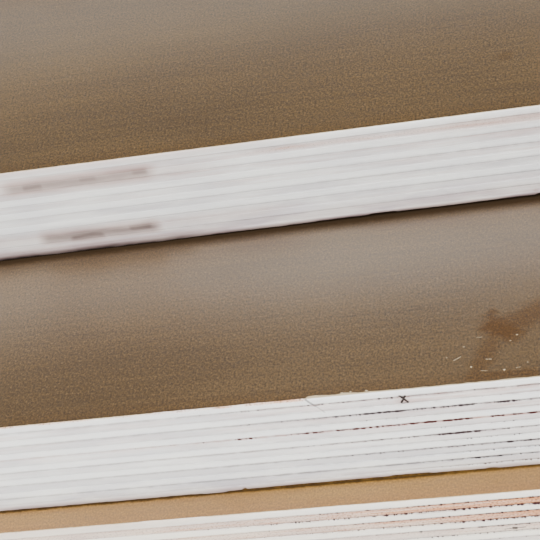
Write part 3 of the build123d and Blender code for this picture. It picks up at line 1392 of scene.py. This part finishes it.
@dataclass
class SheetStack:
    """The stack: four sheets, each slid back from the one below.

    Attributes:
        reach: How far from the middle the line runs along which a sheet rests, in millimetres.
        blur: How soft the dirt and painted shade along that line are, from 0 to 1.
    """

    reach: float = 740.0
    blur: float = 0.9

    # Turn of each sheet in degrees, seen from above.
    TURNS = {"sheet_bottom": 0.0, "sheet_third": 0.3, "sheet_second": 1.25, "sheet_top": 1.4}

    def front_of(self, node: str) -> np.ndarray:
        """Find the middle of a sheet's front edge.

        Args:
            node: The sheet's CAD node.

        Returns:
            Its place in the stack's plane, in millimetres.
        """
        low, high = (np.array(corner[:2]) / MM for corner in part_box(node))
        turn = math.radians(self.TURNS[node])
        span = (high[0] - low[0]) / (math.cos(turn) + math.sin(turn))
        return (low + high) / 2 + span / 2 * np.array([math.sin(turn), -math.cos(turn)])

    def rest_of(self, node: str, above: str, *runs: tuple[float, ...]) -> tuple[Stroke, ...]:
        """Mark the line on a sheet's face along which the next sheet's front edge rests.

        Args:
            node: The sheet's CAD node.
            above: That of the sheet that lies on it.
            *runs: Stretches of the line: start and end along it in millimetres from the middle,
            half the width of the dirt and painted shade there, and how dark it is, from 0 to 1.

        Returns:
            A long stroke for each stretch, in the sheet's own plane.
        """
        turn = math.radians(self.TURNS[node])
        slope = math.tan(math.radians(self.TURNS[above] - self.TURNS[node]))
        gap = self.front_of(above) - self.front_of(node)
        across = gap[0] * math.cos(turn) + gap[1] * math.sin(turn)
        behind = gap[1] * math.cos(turn) - gap[0] * math.sin(turn)
        return each(Stroke, *(
            (*((across + end, behind + end * slope) for end in ends), width, dark, self.blur)
            for *ends, width, dark in runs))

    def bottom(self) -> Plywood:
        """Describe the lowest sheet, with a tan face and peach end grain under thin paint.

        Returns:
            The sheet.
        """
        node = "sheet_bottom"
        return Plywood(
            node, self.TURNS[node], 100,
            PaintedEdge(
                "brushed_emulsion_bottom", 11, bare_end_grain=0.5, open_lines=0.5,
                shown=((-50, 0.35, 0.4), (-15, 0.5, 0.4), (10, 0.6, 0.5), (25, 0.76, 0.6), (45, 0.92, 0.6)),
                soft_lines=((-50, 0.15), (0, 0.3), (45, 0.4)), white="#faf4e4",
                cracks=each(
                    Stroke,
                    ((36.3, 10.3), (36.8, 10.25), 0.2), ((35.0, 10.2), (38.2, 10.35), 0.06))),
            FilmFace(
                "pressed_tan_film", 31, resin="#826026", deep="#745220", warm="#7d4a1c", gloss=(0.5, 0.5),
                speckled=0.45,
                # Dirt and painted shade where the third sheet rests on this one.
                rests=self.rest_of(node, "sheet_third", (-self.reach, 27.0, 0.3, 0.88),
                                   (27.0, self.reach, 0.27, 0.72))),
            lift=(0.05, 0.2), lift_here=((-60, 0.1), (60, 0.1)),
            lines=(
                *(GlueLine(number, ((-20, 0.1), (0, middle), (45, 0.8)), 0.4)
                  for number, middle in ((1, 0.5), (2, 0.5), (3, 0.52))),
                GlueLine(4, ((-20, 0.1), (5, 0.48), (45, 0.76)), 0.4),
                GlueLine(5, ((-20, 0.1), (20, 0.55), (45, 0.78)), 0.1),
                GlueLine(6, ((0, 0.1), (25, 0.5), (45, 0.65)), 0.1),
                GlueLine(7, ((0, 0.1), (45, 0.6)), 0.1),
            ),
            flaws=(Flaw(Wear.STAIN_AND_SHADE, -75.0, 5.0, 18.0, 1.3, 0.3, 30.0),),
            chips=(Chip(-21.4, -10.2, 0.12, Arris.UPPER),),
        )

    def third(self) -> Plywood:
        """Describe the sheet in focus, with its split, its cross-shaped mark and amber patch.

        Returns:
            The sheet.
        """
        node = "sheet_third"
        return Plywood(
            node, self.TURNS[node], 200,
            PaintedEdge(
                "brushed_emulsion_third", 12, bare_end_grain=0.3, open_lines=0.45, dulled=0.36,
                shown=((-50, 0.0, 0.5), (-10, 0.0, 0.5), (15, 0.05, 0.7), (45, 0.1, 0.9)),
                soft_lines=((-50, 0.28), (-12, 0.42), (5, 0.6), (20, 0.75), (45, 0.8)),
                cracks=each(
                    Stroke,
                    ((8.4, 17.9), (9.6, 16.4), 0.17, 0.6), ((9.6, 16.4), (10.8, 15.0), 0.09, 0.35),
                    ((9.7, 16.5), (10.2, 16.6), 0.12, 0.5), ((22.6, 16.9), (23.6, 15.5), 0.2),
                    ((22.65, 15.5), (23.4, 16.8), 0.18), ((22.2, 16.75), (22.7, 16.7), 0.12, 0.6),
                    ((22.8, 15.35), (23.7, 15.4), 0.1, 0.6))),
            FilmFace(
                "pressed_brown_film_third", 32, resin="#574327", deep="#44331d", warm="#452c0f",
                gloss=(0.56, 1.0), front_gloss=0.64, speckled=0.84,
                # Dirt and painted shade where the second sheet rests on this one.
                rests=self.rest_of(node, "sheet_second", (-self.reach, self.reach, 1.8, 1.0),
                                   (-self.reach, -16.0, 3.2, 0.55)),
                patches=each(
                    Stroke,
                    ((37.0, 12.4), (39.2, 11.0), 2.2, 0.9, 0.7),
                    ((39.6, 12.8), (47.0, 17.0), 2.3, 0.64, 0.7),
                    ((36.4, 15.2), (36.8, 11.0), 1.1, 0.7, 0.8),
                    ((36.8, 9.6), (35.2, 4.8), 1.5, 0.5, 0.8),
                    ((35.2, 5.0), (34.2, 1.2), 1.3, 0.5, 0.8),
                    ((33.5, 1.2), (43.0, 1.3), 1.0, 0.55, 0.8)),
                flecks=each(
                    Stroke,
                    ((30.8, 5.6), (31.8, 6.3), 0.07, 0.7), ((29.7, 6.4), (29.7, 6.4), 0.11, 0.6),
                    ((32.2, 8.5), (32.3, 8.5), 0.13, 0.5), ((33.5, 3.8), (33.5, 3.8), 0.14),
                    ((35.7, 5.25), (36.5, 5.15), 0.07, 0.7), ((35.0, 2.8), (36.0, 2.6), 0.06, 0.5),
                    ((38.5, 2.5), (38.5, 2.5), 0.17), ((40.3, 10.1), (40.4, 10.1), 0.12, 0.8),
                    ((39.3, 8.9), (39.4, 8.9), 0.1, 0.6), ((42.0, 3.7), (42.0, 3.7), 0.1, 0.6),
                    ((40.3, 2.75), (40.9, 2.8), 0.06, 0.5), ((34.2, 10.3), (35.0, 10.35), 0.06, 0.5),
                    ((13.8, 0.75), (14.0, 0.8), 0.1), ((15.2, 0.8), (15.3, 0.85), 0.1),
                    ((17.6, 0.8), (17.8, 0.7), 0.12)),
                dots=each(
                    Stroke,
                    ((35.9, 15.3), (36.0, 15.2), 0.25, 0.8), ((22.7, 19.8), (23.2, 19.9), 0.12, 0.6))),
            lift_here=((-50, 0.1), (-8, 0.12), (4, 0.3), (16, 0.35), (26, 0.25), (40, 0.1), (50, 0.1)),
            filled=((-50, 0.75), (0, 0.5), (50, 0.2)),
            lines=each(
                GlueLine,
                (1, ((-45, 0.1), (-15, 0.2), (-5, 0.5), (20, 0.7), (26, 0.62), (31, 0.5), (44, 0.6)), 0.2),
                (2, ((8, 0.0), (20, 0.25), (44, 0.4)), 0.2),
                (3, ((-45, 0.1), (-13, 0.38), (0, 0.55), (8, 0.64), (16, 0.76), (17, 0.95), (22, 0.95),
                     (23, 0.8), (30, 0.8), (31.2, 1.0), (33.5, 1.0), (34, 0.55), (36.3, 0.6),
                     (36.8, 1.0), (39.6, 0.95), (40.5, 0.6)), 0.1),
                (4, ((8, 0.0), (17, 0.4), (23, 0.3), (44, 0.35)), 0.1),
                (5, ((-45, 0.2), (-20, 0.4), (-4.0, 0.4), (-3.6, 0.8), (-0.9, 0.8), (-0.5, 0.4), (4, 0.45),
                     (6, 0.72), (23, 0.82), (24.7, 1.0), (27, 1.0), (27.7, 0.6), (28.5, 1.0), (32.6, 1.0),
                     (33, 0.3), (35.2, 0.3), (35.5, 1.0), (37.4, 1.0), (37.8, 0.3), (38.5, 0.5),
                     (38.8, 1.0), (40.3, 1.0), (40.7, 0.2), (41.1, 1.0), (45, 1.0)), 0.9),
                (6, ((10, 0.0), (25, 0.35), (44, 0.4)), 0.1),
                (7, ((-45, 0.15), (0, 0.45), (16, 0.6), (27, 0.75), (28, 1.0), (32.7, 1.0), (34, 0.65),
                     (44, 0.7)), 0.2),
                (8, ((15, 0.0), (30, 0.35), (35, 0.5), (44, 0.4)), 0.1),
                (9, ((-45, 0.1), (5, 0.4), (20, 0.6), (35, 0.65), (36.5, 0.9), (41, 0.85), (44, 0.6)), 0.1),
                (10, ((22, 0.0), (30, 0.5), (44, 0.55)), 0.0),
                (11, ((-45, 0.05), (15, 0.3), (22, 0.55), (29, 0.6), (31, 0.8), (35, 0.75), (37, 0.5),
                      (44, 0.7)), 0.0),
                (12, ((10, 0.0), (28, 0.4), (44, 0.6)), 0.0),
            ),
            flaws=each(
                Flaw,
                (Wear.BARE_WOOD, 27.0, 30.4, 16.75, 0.2, 0.8),
                (Wear.BARE_WOOD, 39.0, 44.5, 16.75, 0.18, 0.7),
                (Wear.BARE_WOOD, 32.5, 36.0, 11.1, 0.25, 0.6),
                (Wear.STAIN_AND_SHADE, 21.0, 25.0, 16.1, 0.8, 0.3, 1.6),
                # Dirt and painted shade along the lower arris, where the sheet rests on the one below.
                (Wear.STAIN_AND_SHADE, -60.0, 60.0, 0.0, 1.0, 0.7, 20.0),
            ),
            chips=each(Chip, (-16.0, 8.5, 0.1, Arris.UPPER), (-12.0, -7.5, -0.2), (-5.3, -4.4, 0.35),
                       (18.0, 25.0, 0.2), (33.0, 35.2, 0.18)),
            laps=((-60, 0.0), (8.3, 0.0), (8.7, 0.3), (18, 0.3), (20, 0.12), (60, 0.1)),
            bare_arris=((-60, 0.5), (8.2, 0.6), (8.8, 0.0), (60, 0.1)),
        )

    def second(self) -> Plywood:
        """Describe the sheet above it, with soft glue lines and two smears at the left.

        Returns:
            The sheet.
        """
        node = "sheet_second"
        upper_smear = ((-55.0, 0.0, 14.45, 1.4, 0.3, 14.0), (-46.0, -14.5, 14.75, 1.5, 0.74, 5.0),
                       (-41.5, -34.5, 14.7, 1.35, 0.83, 2.2), (-32.0, -25.0, 14.8, 1.35, 0.79, 2.4),
                       (-23.0, -16.5, 14.8, 1.35, 0.8, 2.4))
        lower_smear = ((-65.0, 12.0, 3.7, 1.4, 0.34, 16.0), (-42.0, -16.5, 3.6, 1.45, 0.8, 4.0),
                       (-37.0, -26.0, 3.4, 1.35, 0.88, 3.2), (-27.0, -17.5, 3.7, 1.3, 0.89, 3.4))
        # Dirt and painted shade along the lower arris where the sheet rests on the one below, a broad
        # darkening of the lower half that grows towards the bottom, and stains along and near the upper
        # arris and at the chips.
        arrises = ((-75.0, 10.0, 0.0, 1.7, 1.0, 28.0), (-40.0, 75.0, 0.0, 1.1, 1.0, 28.0),
                   (-60.0, 75.0, 1.8, 2.4, 0.25, 20.0), (-75.0, 20.0, 18.0, 1.1, 0.35, 30.0),
                   (24.0, 54.0, 15.9, 0.8, 0.22, 8.0), (15.4, 20.6, 0.8, 0.3, 0.8),
                   (42.0, 44.5, 1.4, 0.5, 0.5))
        return Plywood(
            node, self.TURNS[node], 300,
            PaintedEdge("brushed_emulsion_second", 13, bare_end_grain=0.3, open_lines=0.3,
                        shown=((-50, 0.0, 0.5), (20, 0.0, 0.6), (50, 0.1, 0.9)),
                        soft_lines=((-50, 0.03), (-20, 0.07), (15, 0.16), (50, 0.26)), line_width=0.95,
                        dulled=0.34),
            FilmFace("pressed_brown_film_second", 33, gloss=(0.42, 0.42),
                     # Dirt and painted shade where the top sheet rests on this one.
                     rests=self.rest_of(node, "sheet_top", (-self.reach, self.reach, 0.8, 0.9)),
                     patches=(Stroke((40.4, 14.9), (41.0, 15.1), 1.2, 0.3),)),
            lift_here=((-50, 0.1), (-20, 0.15), (10, 0.4), (50, 0.5)),
            filled=((-50, 0.85), (0, 0.6), (50, 0.3)),
            lines=tuple(GlueLine(number, ((-50, 0.05), (50, 0.2)), 0.1) for number in (3, 5, 7, 9, 11)),
            flaws=(
                *(Flaw(Wear.STAIN_AND_SHADE, *stain_and_shade) for stain_and_shade in upper_smear + lower_smear + arrises),
                Flaw(Wear.BARE_WOOD, -8.0, 46.0, 15.95, 0.45, 0.45, 12.0),
                Flaw(Wear.BARE_WOOD, 27.0, 52.0, 15.9, 0.85, 0.4, 8.0),
            ),
            chips=(Chip(15.4, 20.6, 0.25), Chip(42.8, 45.5, 0.35)),
        )

    def top(self) -> Plywood:
        """Describe the uppermost sheet, which isn't seen from close by.

        Returns:
            The sheet.
        """
        node = "sheet_top"
        edge = PaintedEdge("brushed_emulsion_top", 14, bare_end_grain=0.4, open_lines=0.45)
        face = FilmFace("pressed_brown_film_top", 34)
        return Plywood(node, self.TURNS[node], 400, edge, face, fine_step=0.0)

    def build(self) -> None:
        """Build every sheet from the floor up and report it."""
        for sheet in (self.bottom(), self.third(), self.second(), self.top()):
            piece = sheet.build()
            mesh = piece.data
            log.info("%s: %d points, %d faces", piece.name, len(mesh.vertices), len(mesh.polygons))


def main() -> None:
    """Dress the stack, light it and set the camera."""
    logging.basicConfig(level=logging.INFO, format="%(name)s %(message)s")
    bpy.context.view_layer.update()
    SheetStack().build()
    Studio().build()
    Viewpoint().build()


if __name__ == "__main__":
    main()
